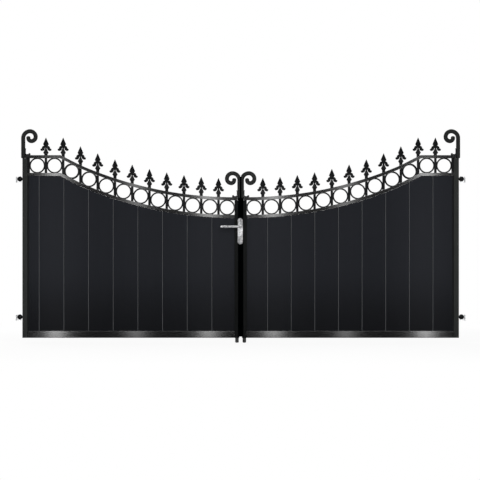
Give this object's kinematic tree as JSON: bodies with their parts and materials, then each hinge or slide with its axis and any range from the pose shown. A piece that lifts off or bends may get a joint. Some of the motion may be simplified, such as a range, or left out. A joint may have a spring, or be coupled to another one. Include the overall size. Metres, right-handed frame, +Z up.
{
  "type": "iron driveway gate pair",
  "caption": "Pair of boarded iron driveway gates with a dipped ring frieze, spear finials, scrolled stiles, lever lock and drop bolts, hung on pier plates.",
  "frame": {"origin": "midway between the bolts on the outer face of the lower left hinge plate, where it lies on the left pier", "axes": "+X from the left pier to the right pier, +Y back from the viewer, +Z up"},
  "size_m": [3.658, 0.131, 1.7395],
  "materials": {
    "black_powder_coat": "gloss black powder coat on steel",
    "anthracite_boards": "satin anthracite boarding with a V joint between boards",
    "satin_nickel": "satin nickel",
    "plain_steel": "plain zinc-plated steel"
  },
  "bodies": {
    "pier_fixings": {"left_lower_pier_hinge": "plain_steel", "left_upper_pier_hinge": "plain_steel", "right_lower_pier_hinge": "plain_steel", "right_upper_pier_hinge": "plain_steel"},
    "left_leaf": {"left_boarding": "anthracite_boards", "left_bottom_rail": "black_powder_coat", "left_closing_stile": "black_powder_coat", "left_corner_brackets": "black_powder_coat", "left_edge_channel": "black_powder_coat", "left_finials": "black_powder_coat", "left_frieze_bars": "black_powder_coat", "left_frieze_rail": "black_powder_coat", "left_frieze_rings": "black_powder_coat", "left_hinge_eyes": "black_powder_coat", "left_hinge_stile": "black_powder_coat", "left_inner_scroll": "black_powder_coat", "left_outer_scroll": "black_powder_coat", "left_top_rail": "black_powder_coat", "cover_strip": "black_powder_coat", "cover_packer": "black_powder_coat", "lock_case": "plain_steel", "front_handle_plate": "satin_nickel", "rear_handle_plate": "satin_nickel", "lock_cylinder": "satin_nickel"},
    "right_leaf": {"right_boarding": "anthracite_boards", "right_bottom_rail": "black_powder_coat", "right_closing_stile": "black_powder_coat", "right_corner_brackets": "black_powder_coat", "right_edge_channel": "black_powder_coat", "right_finials": "black_powder_coat", "right_frieze_bars": "black_powder_coat", "right_frieze_rail": "black_powder_coat", "right_frieze_rings": "black_powder_coat", "right_hinge_eyes": "black_powder_coat", "right_hinge_stile": "black_powder_coat", "right_inner_scroll": "black_powder_coat", "right_outer_scroll": "black_powder_coat", "right_top_rail": "black_powder_coat"},
    "lever_handles": {"front_lever": "satin_nickel", "rear_lever": "satin_nickel", "lever_spindle": "plain_steel"},
    "left_drop_bolt": {"left_drop_rod": "black_powder_coat"},
    "right_drop_bolt": {"right_drop_rod": "black_powder_coat"}
  },
  "joints": [
    {"name": "left_leaf_hinge", "type": "hinge", "parent": "pier_fixings", "child": "left_leaf", "pos_m": [0.03, 0, 0], "axis": [0, 0, -1], "range_deg": [0, 90]},
    {"name": "right_leaf_hinge", "type": "hinge", "parent": "pier_fixings", "child": "right_leaf", "pos_m": [3.628, 0, 0], "axis": [0, 0, 1], "range_deg": [0, 90]},
    {"name": "lever_turn", "type": "hinge", "parent": "left_leaf", "child": "lever_handles", "pos_m": [1.8255, 0, 0.736], "axis": [0, -1, 0], "range_deg": [0, 40], "stiffness_Nm_per_rad": 1.5, "springref_deg": -28.65},
    {"name": "left_drop_rod_slide", "type": "slide", "parent": "left_leaf", "child": "left_drop_bolt", "axis": [0, 0, 1], "range_m": [0, 0.1]},
    {"name": "right_drop_rod_slide", "type": "slide", "parent": "right_leaf", "child": "right_drop_bolt", "axis": [0, 0, 1], "range_m": [0, 0.1]}
  ]
}
